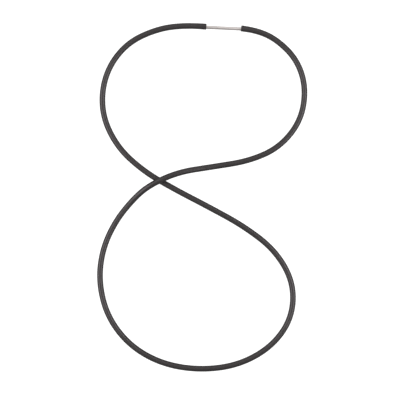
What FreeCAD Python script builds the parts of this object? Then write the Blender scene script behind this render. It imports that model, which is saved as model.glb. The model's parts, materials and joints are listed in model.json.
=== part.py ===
import FreeCAD, Part
import math
import os

import Sketcher
from FreeCAD import Placement, Rotation, Vector

# A round drive belt: a hollow rubber cord cut to length and closed into a loop by a
# two-part screw coupling. The belt lies flat on Z = 0, twisted once so that it makes a
# figure of eight. +Y runs along the eight, towards the coupling. Millimetres throughout.

DRIVING_SIZES = (
    # rubber cord
    ("belt_diameter", 5.2),
    ("core_diameter", 2.0),
    # turned steel coupling: both halves are the same rod, pushed into the cord's core
    ("rod_diameter", 2.8),
    ("rod_clearance", 0.05),
    ("stud_exposed", 10.0),
    ("socket_exposed", 21.1),
    ("tail_length", 7.0),
    ("edge_chamfer", 0.15),
    ("nose_chamfer", 0.5),
    # barbs: saw teeth turned into each buried tail
    ("barb_depth", 0.35),
    ("barb_length", 1.6),
    ("barb_pitch", 1.9),
    ("barb_count", 3),
    ("first_barb", 1.0),
    # screw thread between the two halves
    ("thread_diameter", 2.0),
    ("thread_depth", 0.24),
    ("thread_pitch", 0.4),
    ("thread_length", 4.0),
    ("thread_relief", 0.4),
    ("thread_clearance", 0.05),
    ("cutter_overlap", 0.06),
    ("drill_past_thread", 0.8),
    ("drill_point", 0.65),
    # where the coupling lies: its parting line, and its heading clockwise from +X
    ("coupling_x", 13.5),
    ("coupling_y", 151.5),
    ("coupling_heading", 2.8),
    # the holes that the tails hold open: room behind each, and overrun past the cut end
    ("hole_end_gap", 0.5),
    ("hole_overrun", 1.75),
)

# The cord's centre line, from its cut end at the socket round to its cut end at the stud.
# It rises into a hump where the cord passes over itself.
LIES = dict(DRIVING_SIZES)["belt_diameter"] / 2
OVER = 8.6
ROUTE = (
    (34.5, 151.0, LIES),
    (48.0, 149.5, LIES),
    (66.5, 141.0, LIES),
    (84.5, 123.0, LIES),
    (92.5, 98.0, LIES),
    (88.0, 68.5, LIES),
    (68.5, 44.5, LIES),
    (41.0, 32.5, LIES),
    (9.0, 27.5, LIES),
    (-22.0, 22.5, OVER),
    (-47.0, 11.0, OVER),
    (-61.5, -1.0, LIES),
    (-78.0, -21.5, LIES),
    (-89.5, -47.0, LIES),
    (-92.5, -76.0, LIES),
    (-84.5, -107.0, LIES),
    (-64.5, -132.5, LIES),
    (-36.0, -148.5, LIES),
    (-2.0, -154.0, LIES),
    (32.5, -149.5, LIES),
    (62.0, -133.0, LIES),
    (80.0, -107.5, LIES),
    (81.5, -76.0, LIES),
    (65.0, -47.0, LIES),
    (37.0, -25.5, LIES),
    (5.0, -8.0, LIES),
    (-25.0, 7.5, LIES),
    (-52.5, 23.5, LIES),
    (-76.5, 45.5, LIES),
    (-90.5, 76.0, LIES),
    (-87.5, 110.0, LIES),
    (-69.0, 137.0, LIES),
    (-41.0, 150.5, LIES),
    (-14.0, 154.0, LIES),
    (3.5, 152.5, LIES),
)
ARC_SHARE = 0.45  # of the shorter run, which the arc at a point takes up on each side
VOLUME_TOLERANCE = 0.002  # of the swept bar, against its section times its length

doc = FreeCAD.newDocument("round_drive_belt")
sizes = doc.addObject("Spreadsheet::Sheet", "sizes")
for row, (alias, value) in enumerate(DRIVING_SIZES, start=1):
    sizes.set(f"A{row}", alias)
    sizes.set(f"B{row}", str(value))
    sizes.setAlias(f"B{row}", alias)
doc.recompute()


# ---------------------------------------------------------------- rubber cord


def bend(before, corner, after):
    """The arc that rounds one point of the route: its start, middle, end and radius."""
    inward = corner - before
    outward = after - corner
    half_turn = inward.getAngle(outward) / 2
    setback = ARC_SHARE * min(inward.Length, outward.Length)
    radius = setback / math.tan(half_turn)
    inward.normalize()
    outward.normalize()
    to_centre = (outward - inward).normalize()
    middle = corner + to_centre * (radius / math.cos(half_turn) - radius)
    return corner - inward * setback, middle, corner + outward * setback, radius


def centre_line(name, spots):
    """Straight runs joined by tangent arcs, as one wire."""
    edges = []
    radii = []
    reached = spots[0]
    for before, corner, after in zip(spots, spots[1:], spots[2:]):
        start, middle, end, radius = bend(before, corner, after)
        edges.append(Part.LineSegment(reached, start).toShape())
        edges.append(Part.Arc(start, middle, end).toShape())
        radii.append(radius)
        reached = end
    edges.append(Part.LineSegment(reached, spots[-1]).toShape())
    line = doc.addObject("Part::Feature", name)
    line.Shape = Part.Wire(edges)
    print(f"{name} bend radii, mm:", " ".join(f"{radius:.0f}" for radius in radii))
    return line


def round_bar(name, line, radius):
    """A bar of round section swept along the line from the route's first point."""
    ring = doc.addObject("Part::Circle", f"{name}_ring")
    ring.setExpression("Radius", radius)
    first, second = (Vector(*spot) for spot in ROUTE[:2])
    ring.Placement = Placement(first, Rotation(Vector(0, 0, 1), second - first))
    bar = doc.addObject("Part::Sweep", name)
    bar.Sections = [ring]
    bar.Spine = line
    bar.Solid = True
    return bar


def coupling_place(along=0.0):
    """A place on the coupling's axis: local +Z points from the stud to the socket."""
    heading = math.radians(sizes.coupling_heading)
    direction = Vector(math.cos(heading), -math.sin(heading), 0)
    parting_line = Vector(sizes.coupling_x, sizes.coupling_y, sizes.belt_diameter / 2)
    return Placement(parting_line + direction * along, Rotation(Vector(0, 0, 1), direction))


def tail_hole(name, start, length):
    """The stretch of core that a tail holds open, straight along the coupling's axis."""
    hole = doc.addObject("Part::Cylinder", name)
    hole.setExpression("Radius", "sizes.rod_diameter / 2 + sizes.rod_clearance")
    hole.setExpression("Height", length)
    hole.Placement = coupling_place(start)
    return hole


def make_belt_cord():
    line = centre_line("cord_line", [Vector(*spot) for spot in ROUTE])
    outside = round_bar("cord_outside", line, "sizes.belt_diameter / 2")
    core = round_bar("cord_core", line, "sizes.core_diameter / 2")
    depth = "sizes.hole_overrun + sizes.tail_length + sizes.hole_end_gap"
    stud_reach = (
        sizes.stud_exposed + sizes.tail_length + sizes.hole_end_gap + sizes.thread_length
    )
    stud_hole = tail_hole("stud_hole", -stud_reach, f"{depth} + sizes.thread_length")
    socket_hole = tail_hole("socket_hole", sizes.socket_exposed - sizes.hole_overrun, depth)
    hollow = doc.addObject("Part::MultiFuse", "cord_hollow")
    hollow.Shapes = [core, stud_hole, socket_hole]
    cord = doc.addObject("Part::Cut", "belt_cord")
    cord.Base = outside
    cord.Tool = hollow
    doc.recompute()
    swept = math.pi * (sizes.belt_diameter / 2) ** 2 * line.Shape.Length
    print(f"cord length {line.Shape.Length:.1f} mm, swept volume {outside.Shape.Volume / swept:.4f}")
    if abs(outside.Shape.Volume / swept - 1) > VOLUME_TOLERANCE:
        raise RuntimeError("the cord's volume is not its section times its length")
    return cord


# ---------------------------------------------------------------- turned coupling


def new_sketch(body, name, role="XZ_Plane"):
    sketch = body.newObject("Sketcher::SketchObject", name)
    plane = next(item for item in body.Origin.OriginFeatures if item.Role == role)
    sketch.AttachmentSupport = (plane, [""])
    sketch.MapMode = "FlatFace"
    return sketch


def outline(sketch, corners):
    """A closed outline with each corner held at a pair of expressions."""
    count = len(corners)
    angles = [2 * math.pi * index / count for index in range(count)]
    rough = [Vector(math.cos(angle), math.sin(angle), 0) for angle in angles]
    for start, end in zip(rough, rough[1:] + rough[:1]):
        sketch.addGeometry(Part.LineSegment(start, end))
    for side in range(count):
        joined = Sketcher.Constraint("Coincident", side, 2, (side + 1) % count, 1)
        sketch.addConstraint(joined)
    for side, (across, up) in enumerate(corners):
        for kind, expression, value in (
            ("DistanceX", across, rough[side].x),
            ("DistanceY", up, rough[side].y),
        ):
            number = sketch.addConstraint(Sketcher.Constraint(kind, -1, 1, side, 1, value))
            sketch.setExpression(f"Constraints[{number}]", expression)


def turned(body, name, corners, kind="PartDesign::Revolution"):
    """A full turn about the body's Z axis of an outline in its XZ plane."""
    sketch = new_sketch(body, f"{name}_outline")
    outline(sketch, corners)
    feature = body.newObject(kind, name)
    feature.Profile = sketch
    feature.ReferenceAxis = (sketch, ["V_Axis"])
    feature.Angle = 360
    return feature


def barbs(body, name, tail_end, inward):
    """Saw teeth behind the tail's nose; inward is + or -, the way from the nose."""
    rod = "sizes.rod_diameter / 2"
    first = f"{tail_end} {inward} sizes.first_barb"
    tooth = turned(
        body,
        f"{name}_tooth",
        (
            (rod, first),
            (f"{rod} - sizes.barb_depth", first),
            (rod, f"{first} {inward} sizes.barb_length"),
        ),
        "PartDesign::Groove",
    )
    doc.recompute()
    row_of_teeth = body.newObject("PartDesign::LinearPattern", name)
    row_of_teeth.Originals = [tooth]
    z_axis = next(item for item in body.Origin.OriginFeatures if item.Role == "Z_Axis")
    row_of_teeth.Direction = (z_axis, [""])
    row_of_teeth.Reversed = inward == "-"
    row_of_teeth.setExpression("Length", "(sizes.barb_count - 1) * sizes.barb_pitch")
    row_of_teeth.setExpression("Occurrences", "sizes.barb_count")
    body.Tip = row_of_teeth
    doc.recompute()


def make_coupling_stud():
    body = doc.addObject("PartDesign::Body", "coupling_stud")
    rod = "sizes.rod_diameter / 2"
    spigot = "sizes.thread_diameter / 2"
    tail_end = "-(sizes.stud_exposed + sizes.tail_length)"
    turned(
        body,
        "stud_rod",
        (
            ("0", tail_end),
            (f"{rod} - sizes.nose_chamfer", tail_end),
            (rod, f"{tail_end} + sizes.nose_chamfer"),
            (rod, "-sizes.edge_chamfer"),
            (f"{rod} - sizes.edge_chamfer", "0"),
            (spigot, "0"),
            (spigot, "sizes.thread_length - sizes.thread_depth"),
            (f"{spigot} - sizes.thread_depth", "sizes.thread_length"),
            ("0", "sizes.thread_length"),
        ),
    )
    doc.recompute()
    barbs(body, "stud_barbs", tail_end, "+")
    groove = new_sketch(body, "thread_groove")
    outside = f"{spigot} + sizes.cutter_overlap"
    outline(
        groove,
        (
            (f"{spigot} - sizes.thread_depth", "sizes.thread_relief + sizes.thread_pitch / 2"),
            (outside, "sizes.thread_relief + sizes.thread_pitch"),
            (outside, "sizes.thread_relief"),
        ),
    )
    thread = body.newObject("PartDesign::SubtractiveHelix", "stud_thread")
    thread.Profile = groove
    thread.ReferenceAxis = (groove, ["V_Axis"])
    thread.Mode = 0
    thread.setExpression("Pitch", "sizes.thread_pitch")
    thread.setExpression("Height", "sizes.thread_length")
    body.Tip = thread
    body.Placement = coupling_place()
    return body


def make_coupling_socket():
    body = doc.addObject("PartDesign::Body", "coupling_socket")
    rod = "sizes.rod_diameter / 2"
    bore = "(sizes.thread_diameter / 2 + sizes.thread_clearance)"
    drilled = "(sizes.thread_length + sizes.drill_past_thread)"
    tail_end = "(sizes.socket_exposed + sizes.tail_length)"
    turned(
        body,
        "socket_rod",
        (
            (bore, "0"),
            (f"{rod} - sizes.edge_chamfer", "0"),
            (rod, "sizes.edge_chamfer"),
            (rod, f"{tail_end} - sizes.nose_chamfer"),
            (f"{rod} - sizes.nose_chamfer", tail_end),
            ("0", tail_end),
            ("0", f"{drilled} + sizes.drill_point"),
            (bore, drilled),
        ),
    )
    doc.recompute()
    barbs(body, "socket_barbs", tail_end, "-")
    body.Placement = coupling_place()
    return body


nodes = [make_belt_cord(), make_coupling_stud(), make_coupling_socket()]
doc.recompute()
for thing in doc.Objects:
    if "Invalid" in thing.State or "Error" in thing.State:
        raise RuntimeError(f"{thing.Name} did not recompute: {thing.State}")
for node in nodes:
    if node.Shape.isNull() or not node.Shape.isValid():
        raise RuntimeError(f"{node.Label} has no valid shape")

os.makedirs("parts", exist_ok=True)
for node in nodes:
    box = node.Shape.BoundBox
    print(f"{node.Label}: {node.Shape.Volume:.2f} mm3, {len(node.Shape.Solids)} solid, {box}")
    node.Shape.exportStep(f"parts/{node.Label}.step")
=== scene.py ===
import json
import math
from bisect import bisect_right

import bpy
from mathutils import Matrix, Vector, noise


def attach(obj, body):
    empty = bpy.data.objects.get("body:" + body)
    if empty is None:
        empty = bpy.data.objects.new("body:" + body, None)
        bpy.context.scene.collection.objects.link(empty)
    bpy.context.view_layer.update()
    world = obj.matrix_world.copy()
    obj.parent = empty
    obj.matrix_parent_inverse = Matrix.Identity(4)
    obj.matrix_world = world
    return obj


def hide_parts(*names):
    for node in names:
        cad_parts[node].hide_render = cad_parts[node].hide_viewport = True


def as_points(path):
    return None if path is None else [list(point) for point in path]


# A round drive belt: a hollow rubber cord whose two cut ends are pushed over the barbed
# tails of a turned steel screw coupling. Metres throughout.

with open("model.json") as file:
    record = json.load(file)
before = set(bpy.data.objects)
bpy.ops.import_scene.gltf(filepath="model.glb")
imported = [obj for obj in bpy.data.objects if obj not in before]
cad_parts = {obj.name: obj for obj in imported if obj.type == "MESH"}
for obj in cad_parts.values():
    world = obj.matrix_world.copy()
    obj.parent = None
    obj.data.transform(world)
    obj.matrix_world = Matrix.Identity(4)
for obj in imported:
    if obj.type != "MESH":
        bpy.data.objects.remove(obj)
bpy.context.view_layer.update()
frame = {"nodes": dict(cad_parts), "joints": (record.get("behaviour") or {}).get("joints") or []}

MM = 0.001

# ------------------------------------------------------------------ sizes

BELT_RADIUS = 2.6 * MM
CORE_RADIUS = 1.0 * MM
MOUTH_RADIUS = 1.45 * MM  # the core where a tail holds it open
TAIL_LENGTH = 7.0 * MM
TAIL_ROOM = 0.5 * MM  # behind a tail
MOUTH_TAPER = 3.0 * MM  # over which the core closes again
SWELLING = 0.1 * MM  # of the cord's radius over a tail
SWELLING_LENGTH = 11.0 * MM
RIPPLE = 0.012 * MM  # unevenness left by the extruder's die
RIPPLES_PER_METRE = 55.0
RIPPLE_START = (0.3, 0.7)  # where in the noise the ripple is read
RIM_RADIUS = 0.16 * MM  # worn edge of a cut end
MOUTH_RIM_RADIUS = 0.1 * MM
CUT_WAVE = 0.04 * MM  # how far the knife strayed
CUT_WAVES_PER_METRE = 420.0
CUT_DEPTH = 1.0 * MM  # over which the waves die out

RING_STEP = 1.2 * MM  # between rings of the skin
CORE_STEP = 2.4 * MM  # between rings of the core
SIDES = 48
RIM_RINGS = 5
FACE_RINGS = 4
FACE_REACH = RIM_RADIUS / 4  # from a cut, the wall within it has the cut finish

# The cord's route, from its cut end at the socket round to its cut end at the stud. The
# same points as in the part's source. It rises where it passes over itself.
LIES = BELT_RADIUS
OVER = 8.6 * MM
ROUTE = (
    (0.0345, 0.1510, LIES),
    (0.0480, 0.1495, LIES),
    (0.0665, 0.1410, LIES),
    (0.0845, 0.1230, LIES),
    (0.0925, 0.0980, LIES),
    (0.0880, 0.0685, LIES),
    (0.0685, 0.0445, LIES),
    (0.0410, 0.0325, LIES),
    (0.0090, 0.0275, LIES),
    (-0.0220, 0.0225, OVER),
    (-0.0470, 0.0110, OVER),
    (-0.0615, -0.0010, LIES),
    (-0.0780, -0.0215, LIES),
    (-0.0895, -0.0470, LIES),
    (-0.0925, -0.0760, LIES),
    (-0.0845, -0.1070, LIES),
    (-0.0645, -0.1325, LIES),
    (-0.0360, -0.1485, LIES),
    (-0.0020, -0.1540, LIES),
    (0.0325, -0.1495, LIES),
    (0.0620, -0.1330, LIES),
    (0.0800, -0.1075, LIES),
    (0.0815, -0.0760, LIES),
    (0.0650, -0.0470, LIES),
    (0.0370, -0.0255, LIES),
    (0.0050, -0.0080, LIES),
    (-0.0250, 0.0075, LIES),
    (-0.0525, 0.0235, LIES),
    (-0.0765, 0.0455, LIES),
    (-0.0905, 0.0760, LIES),
    (-0.0875, 0.1100, LIES),
    (-0.0690, 0.1370, LIES),
    (-0.0410, 0.1505, LIES),
    (-0.0140, 0.1540, LIES),
    (0.0035, 0.1525, LIES),
)
LINE_ORDER = 3
LINE_RESOLUTION = 64

# The coupling's axis runs from the stud to the socket, through their parting line.
JOINTS = {joint["name"]: joint for joint in frame["joints"]}
PARTING_POINT = Vector(JOINTS["socket_turn"]["pos_m"])
COUPLING_AXIS = Vector(JOINTS["socket_turn"]["axis"]).normalized()
STUD_TRAVEL = JOINTS["stud_slide"]["range_m"][1]

# The camera looks straight down on the belt.
VIEW_WIDTH = 0.357
VIEW_CENTRE = (-0.00215, -0.00215)
SENSOR = 36.0
LENS = 100.0

# Each metal half's darker and lighter colour, and its roughness.
STEELS = (
    ("coupling_stud", (0.54, 0.497, 0.481), (0.61, 0.561, 0.543), 0.38),
    ("coupling_socket", (0.60, 0.552, 0.534), (0.69, 0.635, 0.614), 0.36),
)

# Light: a white world, a soft box on each side and one behind, and a lit floor.
WORLD_LIGHT = 0.45
SIDE_PLACE = (0.85, 0.0, 0.85)
SIDE_SIZE = (1.2, 0.6)
SIDE_POWER = 14.0
BACK_PLACE = (0.0, 0.95, 0.75)
BACK_SIZE = (1.6, 1.0)
BACK_POWER = 4.6
FLOOR_GLOW = 0.90
FLOOR_RADIUS = 12.0
FLOOR_SIDES = 96


# ------------------------------------------------------------------ shader sums


class Wire:
    """A shader output that does sums: each operator adds a Math node to its tree."""

    def __init__(self, tree, socket):
        self.tree = tree
        self.socket = socket

    def sum_of(self, operation, left, right):
        node = self.tree.nodes.new("ShaderNodeMath")
        node.operation = operation
        connect(self.tree, node.inputs[0], left)
        connect(self.tree, node.inputs[1], right)
        return Wire(self.tree, node.outputs[0])

    def __add__(self, other):
        return self.sum_of("ADD", self, other)

    def __sub__(self, other):
        return self.sum_of("SUBTRACT", self, other)

    def __rsub__(self, other):
        return self.sum_of("SUBTRACT", other, self)

    def __mul__(self, other):
        return self.sum_of("MULTIPLY", self, other)

    __radd__ = __add__
    __rmul__ = __mul__


def connect(tree, socket, value):
    """Links a wire to a socket, or sets the socket to a plain value."""
    if isinstance(value, Wire):
        tree.links.new(value.socket, socket)
    else:
        socket.default_value = value


class Finish:
    """A procedural material: one Principled shader and the nodes that feed it."""

    def __init__(self, name):
        self.material = bpy.data.materials.new(name)
        self.material.use_nodes = True
        self.tree = self.material.node_tree
        self.shader = self.tree.nodes["Principled BSDF"]

    def feed(self, **values):
        """Sets the shader's sockets, each named in lower case with underscores."""
        sockets = {key.lower().replace(" ", "_"): key for key in self.shader.inputs.keys()}
        for name, value in values.items():
            connect(self.tree, self.shader.inputs[sockets[name]], value)

    def node(self, kind, sockets=None, output=0, stops=(), **settings):
        """Adds a node, with its settings first and its sockets after them."""
        node = self.tree.nodes.new(kind)
        for name, value in settings.items():
            setattr(node, name, value)
        for index, (position, shade) in enumerate(stops):
            ramp = node.color_ramp.elements
            stop = ramp[index] if index < len(ramp) else ramp.new(position)
            stop.position = position
            stop.color = (shade, shade, shade, 1)
        for name, value in (sockets or {}).items():
            connect(self.tree, node.inputs[name], value)
        return Wire(self.tree, node.outputs[output])

    def noise(self, place, scale, detail=2.0, roughness=0.5):
        """Noise about 0.5, stretched by a scale for each direction."""
        spread = self.node("ShaderNodeMapping", {"Vector": place, "Scale": scale})
        return self.node(
            "ShaderNodeTexNoise",
            {"Vector": spread, "Scale": 1.0, "Detail": detail, "Roughness": roughness},
        )

    def ramp(self, factor, low, high):
        """0 below low, 1 above high."""
        stops = ((low, 0.0), (high, 1.0))
        return self.node("ShaderNodeValToRGB", {"Fac": factor}, stops=stops)

    def blend(self, factor, first, second):
        """A colour between two, which are wires or RGB values."""
        colours = [shade if isinstance(shade, Wire) else (*shade, 1) for shade in (first, second)]
        return self.node(
            "ShaderNodeMix",
            {"Factor": factor, 6: colours[0], 7: colours[1]},
            output=2,
            data_type="RGBA",
        )

    def bump(self, height, strength, distance, under=None):
        """A bump, laid over another one if there is one under it."""
        sockets = {"Height": height, "Strength": strength, "Distance": distance}
        if under:
            sockets["Normal"] = under
        return self.node("ShaderNodeBump", sockets)


# ------------------------------------------------------------------ finishes


def extruded_rubber():
    """Satin black rubber: the die's lines along it, a fine grain, handling and dust."""
    rubber = Finish("belt_rubber_satin")
    straight = rubber.node("ShaderNodeAttribute", output="Vector", attribute_name="straight")
    die_lines = rubber.noise(straight, (2600, 2600, 22), detail=3)
    grain = rubber.noise(straight, (5200, 5200, 4200), detail=3, roughness=0.65)
    handling = rubber.noise(straight, (260, 260, 75), detail=4, roughness=0.6)
    specks = rubber.noise(straight, (3100, 3100, 2300), detail=1)
    dust = rubber.ramp(specks, 0.70, 0.78) * rubber.ramp(handling, 0.48, 0.62)
    tone = 0.5 * handling + 0.3 * die_lines + 0.2 * grain
    black = rubber.blend(tone, (0.0060, 0.0056, 0.0054), (0.0170, 0.0157, 0.0152))
    lines_bump = rubber.bump(die_lines, 0.7, 0.06 * MM)
    rubber.feed(
        base_color=rubber.blend(0.35 * dust, black, (0.16, 0.155, 0.15)),
        roughness=0.42 + 0.16 * (handling - 0.5) + 0.10 * (die_lines - 0.5),
        specular_ior_level=0.45,
        specular_tint=(1.0, 0.91, 0.95, 1),
        normal=rubber.bump(grain, 0.6, 0.05 * MM, lines_bump),
    )
    return rubber.material


def cut_rubber():
    """The knife-cut end faces: matt, with the knife's drag across them."""
    rubber = Finish("belt_rubber_cut")
    straight = rubber.node("ShaderNodeAttribute", output="Vector", attribute_name="straight")
    drag = rubber.noise(straight, (600, 7000, 600))
    grain = rubber.noise(straight, (6000, 6000, 6000), detail=3, roughness=0.7)
    tone = 0.5 * drag + 0.5 * grain
    grain_bump = rubber.bump(grain, 0.4, 0.03 * MM)
    rubber.feed(
        base_color=rubber.blend(tone, (0.0130, 0.0125, 0.0125), (0.0300, 0.0285, 0.0280)),
        roughness=0.62 + 0.12 * (grain - 0.5),
        specular_ior_level=0.35,
        normal=rubber.bump(drag, 0.6, 0.04 * MM, grain_bump),
    )
    return rubber.material


def turned_steel(name, darker, lighter, roughness):
    """Drawn steel rod, turned: rings round its axis, fine scratches along it."""
    steel = Finish(name)
    upright = COUPLING_AXIS.rotation_difference(Vector((0, 0, 1)))
    on_rod = steel.node(
        "ShaderNodeMapping",
        {
            "Vector": steel.node("ShaderNodeTexCoord", output="Object"),
            "Location": upright @ -PARTING_POINT,
            "Rotation": upright.to_euler(),
        },
    )
    rings = steel.noise(on_rod, (90, 90, 9000))
    scratches = steel.noise(on_rod, (5200, 5200, 160), detail=3, roughness=0.6)
    smears = steel.noise(on_rod, (420, 420, 140), detail=3, roughness=0.55)
    rings_bump = steel.bump(rings, 0.6, 0.02 * MM)
    steel.feed(
        base_color=steel.blend(0.6 * smears + 0.4 * scratches, darker, lighter),
        metallic=1.0,
        roughness=roughness + 0.16 * (smears - 0.5) + 0.12 * (scratches - 0.5),
        normal=steel.bump(scratches, 0.4, 0.015 * MM, rings_bump),
    )
    return steel.material


def studio_white():
    """Matt white paper, lit from within."""
    white = Finish("studio_floor")
    paper = white.noise(white.node("ShaderNodeTexCoord", output="Object"), (900, 900, 900))
    white.feed(
        base_color=white.blend(paper, (0.28, 0.28, 0.28), (0.30, 0.30, 0.30)),
        roughness=0.9,
        specular_ior_level=0.1,
        emission_color=(1, 1, 1, 1),
        emission_strength=FLOOR_GLOW,
    )
    return white.material


# ------------------------------------------------------------------ rubber cord


def route_line():
    """Points down the middle of the cord, read from one smooth spline on the route."""
    curve = bpy.data.curves.new("belt_line", "CURVE")
    curve.dimensions = "3D"
    spline = curve.splines.new("NURBS")
    spline.points.add(len(ROUTE) - 1)
    for point, spot in zip(spline.points, ROUTE):
        point.co = (*spot, 1)
    spline.order_u = LINE_ORDER
    spline.use_endpoint_u = True
    spline.resolution_u = LINE_RESOLUTION
    holder = bpy.data.objects.new("belt_line", curve)
    mesh = bpy.data.meshes.new_from_object(holder)
    line = [vertex.co.copy() for vertex in mesh.vertices]
    bpy.data.meshes.remove(mesh)
    bpy.data.objects.remove(holder)
    bpy.data.curves.remove(curve)
    return line


class CentreLine:
    """The cord's middle, measured by the distance along it."""

    def __init__(self, points):
        self.points = points
        self.along = [0.0]
        for start, end in zip(points, points[1:]):
            self.along.append(self.along[-1] + (end - start).length)
        self.length = self.along[-1]
        spread = [points[0], *points, points[-1]]
        self.headings = [
            (after - before).normalized() for before, after in zip(spread, spread[2:])
        ]

    def at(self, distance):
        """The middle at a distance, and the directions across, up and forward there."""
        index = min(max(bisect_right(self.along, distance) - 1, 0), len(self.points) - 2)
        run = self.along[index + 1] - self.along[index]
        share = (distance - self.along[index]) / run
        middle = self.points[index].lerp(self.points[index + 1], share)
        forward = self.headings[index].lerp(self.headings[index + 1], share).normalized()
        across = forward.cross(Vector((0, 0, 1))).normalized()
        return middle, across, across.cross(forward), forward

    def from_cut(self, distance):
        """How far a distance is from the nearer cut end."""
        return min(distance, self.length - distance)


def ease(share):
    """A smooth rise from 0 to 1."""
    share = min(max(share, 0.0), 1.0)
    return share * share * (3 - 2 * share)


def steps(start, end, step):
    """Even values from start to end, about a step apart."""
    count = max(1, round(abs(end - start) / step))
    return [start + (end - start) * index / count for index in range(count + 1)]


def skin_ring(line, distance, inset=0.0):
    """The outside: the die's ripple, and a swelling where a tail is inside. Its underside
    stays down on the surface that the cord lies on."""
    ripple = noise.noise(Vector((*RIPPLE_START, distance * RIPPLES_PER_METRE)))
    swelling = 1 - ease(line.from_cut(distance) / SWELLING_LENGTH)
    extra = SWELLING * swelling + RIPPLE * ripple
    middle = line.at(distance)[0] + Vector((0, 0, extra))
    return distance, middle, BELT_RADIUS + extra - inset


def core_ring(line, distance, outset=0.0):
    """The core: on the coupling's axis round a tail, closing to the cord's middle beyond.
    The stud's end, the far one, also has room for the stud's travel."""
    middle, _, _, forward = line.at(distance)
    held_open = TAIL_LENGTH + TAIL_ROOM
    if distance > line.length / 2:
        held_open += STUD_TRAVEL
    closed = ease((line.from_cut(distance) - held_open) / MOUTH_TAPER)
    if closed < 1:
        reach = (middle - PARTING_POINT).dot(forward) / COUPLING_AXIS.dot(forward)
        middle = (PARTING_POINT + COUPLING_AXIS * reach).lerp(middle, closed)
    return distance, middle, MOUTH_RADIUS + (CORE_RADIUS - MOUTH_RADIUS) * closed + outset


def cut_rings(line, cut, inward):
    """Rings over a cut end: its worn rim, its face and the core's mouth. The rim's first
    ring is on the skin and the mouth's last ring is in the core."""
    turns = [math.pi / 2 * index / RIM_RINGS for index in range(RIM_RINGS + 1)]
    rim = []
    mouth = []
    for turn in turns:
        near, far = 1 - math.cos(turn), 1 - math.sin(turn)
        rim.append(skin_ring(line, cut + inward * RIM_RADIUS * far, RIM_RADIUS * near))
        place = cut + inward * MOUTH_RIM_RADIUS * near
        mouth.append(core_ring(line, place, MOUTH_RIM_RADIUS * far))
    (_, outer, outer_radius), (_, inner, inner_radius) = rim[-1], mouth[0]
    face = []
    for share in steps(0, 1, 1 / FACE_RINGS)[1:-1]:
        radius = outer_radius + (inner_radius - outer_radius) * share
        face.append((cut, outer.lerp(inner, share), radius))
    return rim + face + mouth


def wall_rings(line):
    """Every ring of the wall: along the skin, over a cut, back down the core, and over
    the other cut to where it began."""
    first_cut = cut_rings(line, 0.0, 1)[::-1]
    last_cut = cut_rings(line, line.length, -1)
    skin = steps(RIM_RADIUS, line.length - RIM_RADIUS, RING_STEP)[1:-1]
    core = steps(line.length - MOUTH_RIM_RADIUS, MOUTH_RIM_RADIUS, CORE_STEP)[1:-1]
    return [
        *first_cut,
        *[skin_ring(line, distance) for distance in skin],
        *last_cut,
        *[core_ring(line, distance) for distance in core],
    ]


def ring_points(line, distance, middle, radius):
    """A ring's points as they lie, and as they were when the cord was straight."""
    centre, across, up, forward = line.at(distance)
    outward = -1 if distance < line.length / 2 else 1
    fading = 1 - ease(line.from_cut(distance) / CUT_DEPTH)
    for side in range(SIDES):
        angle = 2 * math.pi * side / SIDES
        point = middle + (across * math.cos(angle) + up * math.sin(angle)) * radius
        offset = point - centre
        flat = Vector((offset.dot(across), offset.dot(up), distance))
        if fading > 0:
            wave = CUT_WAVE * noise.noise(flat * CUT_WAVES_PER_METRE)
            point += forward * (wave * fading * outward)
        yield point, flat


def build_belt_cord(skin, cut):
    """The whole hollow cord as one closed wall."""
    line = CentreLine(route_line())
    rings = wall_rings(line)
    points = [pair for ring in rings for pair in ring_points(line, *ring)]
    faces = []
    is_cut = []
    for ring, (distance, _, _) in enumerate(rings):
        following = (ring + 1) % len(rings)
        on_face = line.from_cut((distance + rings[following][0]) / 2) < FACE_REACH
        for side in range(SIDES):
            beside = (side + 1) % SIDES
            faces.append(
                (
                    ring * SIDES + side,
                    ring * SIDES + beside,
                    following * SIDES + beside,
                    following * SIDES + side,
                )
            )
            is_cut.append(on_face)
    mesh = bpy.data.meshes.new("rubber_cord")
    mesh.from_pydata([point for point, _ in points], [], faces)
    straight = mesh.attributes.new("straight", "FLOAT_VECTOR", "POINT")
    straight.data.foreach_set("vector", [number for _, flat in points for number in flat])
    mesh.materials.append(skin)
    mesh.materials.append(cut)
    mesh.polygons.foreach_set("material_index", [int(flag) for flag in is_cut])
    mesh.shade_smooth()
    mesh.update()
    cord = bpy.data.objects.new("rubber_cord", mesh)
    bpy.context.scene.collection.objects.link(cord)
    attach(cord, "belt")
    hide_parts("belt_cord")
    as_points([line.at(distance)[0] for distance in steps(0, line.length, RING_STEP)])


# ------------------------------------------------------------------ studio


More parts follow.
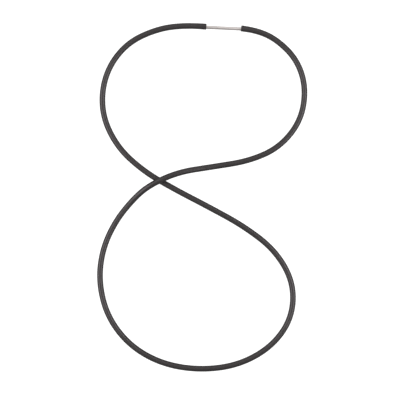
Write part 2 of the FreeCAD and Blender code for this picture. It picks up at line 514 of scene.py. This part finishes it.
def look_down():
    """A long lens straight above the belt."""
    data = bpy.data.cameras.new("overhead_camera")
    data.sensor_width = SENSOR
    data.lens = LENS
    camera = bpy.data.objects.new("overhead_camera", data)
    camera.location = (*VIEW_CENTRE, BELT_RADIUS + VIEW_WIDTH * LENS / SENSOR)
    bpy.context.scene.collection.objects.link(camera)
    bpy.context.scene.camera = camera


def lay_floor(finish):
    """A wide disc at Z = 0 that glossy reflections don't see."""
    bpy.ops.object.select_all(action="DESELECT")
    bpy.ops.mesh.primitive_circle_add(
        vertices=FLOOR_SIDES, radius=FLOOR_RADIUS, fill_type="NGON"
    )
    floor = bpy.context.object
    floor.name = "floor"
    floor.data.materials.append(finish)
    floor.visible_glossy = False


def soft_box(name, place, across, tall, power):
    """A rectangular lamp that faces the middle of the belt."""
    data = bpy.data.lights.new(name, "AREA")
    data.shape = "RECTANGLE"
    data.size = across
    data.size_y = tall
    data.energy = power
    lamp = bpy.data.objects.new(name, data)
    lamp.location = place
    lamp.rotation_euler = (-Vector(place)).to_track_quat("-Z", "Y").to_euler()
    bpy.context.scene.collection.objects.link(lamp)


def light_studio():
    """The white world and the three soft boxes, with the plain view transform."""
    world = bpy.data.worlds.new("studio")
    world.use_nodes = True
    background = world.node_tree.nodes["Background"]
    background.inputs["Color"].default_value = (1, 1, 1, 1)
    background.inputs["Strength"].default_value = WORLD_LIGHT
    bpy.context.scene.world = world
    bpy.context.scene.view_settings.view_transform = "Standard"
    x, y, z = SIDE_PLACE
    soft_box("left_box", (-x, y, z), *SIDE_SIZE, SIDE_POWER)
    soft_box("right_box", (x, y, z), *SIDE_SIZE, SIDE_POWER)
    soft_box("back_box", BACK_PLACE, *BACK_SIZE, BACK_POWER)


# ------------------------------------------------------------------ the belt

look_down()
build_belt_cord(extruded_rubber(), cut_rubber())
for node, darker, lighter, roughness in STEELS:
    finish = turned_steel(f"{node}_steel", darker, lighter, roughness)
    frame["nodes"][node].material_slots[0].material = finish

lay_floor(studio_white())
light_studio()
